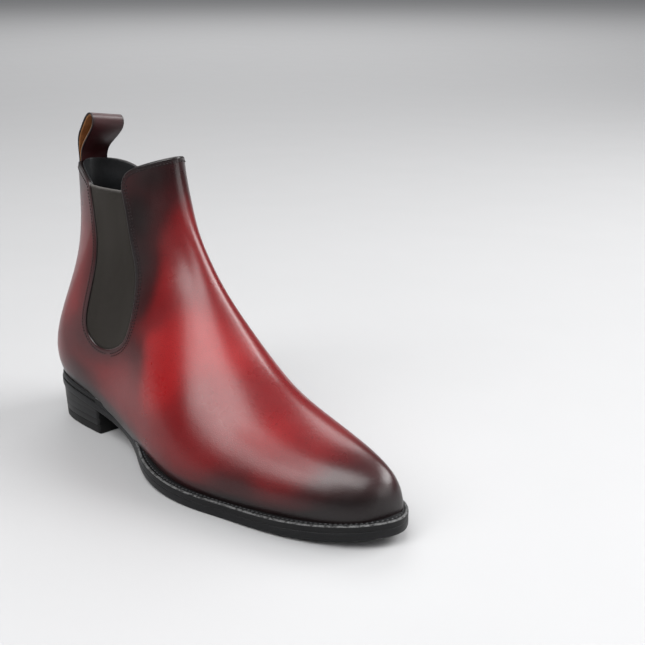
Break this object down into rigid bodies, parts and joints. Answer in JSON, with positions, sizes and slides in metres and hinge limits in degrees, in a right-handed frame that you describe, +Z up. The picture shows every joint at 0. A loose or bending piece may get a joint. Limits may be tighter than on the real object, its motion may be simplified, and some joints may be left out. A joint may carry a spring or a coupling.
{
  "type": "chelsea boot",
  "caption": "Right ankle boot with an almond toe, one-piece vamp and shaft front, elastic side panels, rear pull loop, welted sole and low stacked heel.",
  "frame": {"origin": "on the ground below the middle of the boot's length and width", "axes": "+X towards the toe, +Y towards the medial side, +Z up"},
  "size_m": [0.3093, 0.1024, 0.2127],
  "materials": {
    "upper_leather": "burnished, waxed",
    "gore_elastic": "fine ribbed weave",
    "lining_leather": "matte",
    "stiffener_board": "matte",
    "loop_backing": "matte, tan",
    "insole_leather": "matte",
    "welt_leather": "waxed, wheeled",
    "cork": "granular",
    "shank_steel": "brushed",
    "sole_black": "inked and waxed",
    "heel_black": "inked and waxed",
    "top_piece_rubber": "matte"
  },
  "bodies": {
    "boot": {"front_upper": "upper_leather", "heel_upper": "upper_leather", "lateral_gore": "gore_elastic", "medial_gore": "gore_elastic", "front_lining": "lining_leather", "heel_lining": "lining_leather", "toe_puff": "stiffener_board", "heel_counter": "stiffener_board", "insole": "insole_leather", "sock_lining": "lining_leather", "welt": "welt_leather", "heel_rand": "welt_leather", "cork_filler": "cork", "shank": "shank_steel", "outsole": "sole_black", "heel_lift_1": "heel_black", "heel_lift_2": "heel_black", "heel_wedge": "heel_black", "top_piece": "top_piece_rubber"},
    "shaft_back": {"shaft_upper": "upper_leather", "shaft_lining": "lining_leather"},
    "pull_strap": {"pull_loop": "upper_leather", "pull_loop_backing": "loop_backing"}
  },
  "joints": [
    {"name": "shaft_spread", "type": "hinge", "parent": "boot", "child": "shaft_back", "pos_m": [-0.153, 0.0078, 0.0584], "axis": [0, -1, 0], "range_deg": [0, 8], "stiffness_Nm_per_rad": 3, "deforming": ["lateral_gore", "medial_gore"]},
    {"name": "loop_swing", "type": "hinge", "parent": "shaft_back", "child": "pull_strap", "pos_m": [-0.1244, 0.0078, 0.18], "axis": [0, 1, 0], "range_deg": [-45, 35], "stiffness_Nm_per_rad": 0.02}
  ]
}
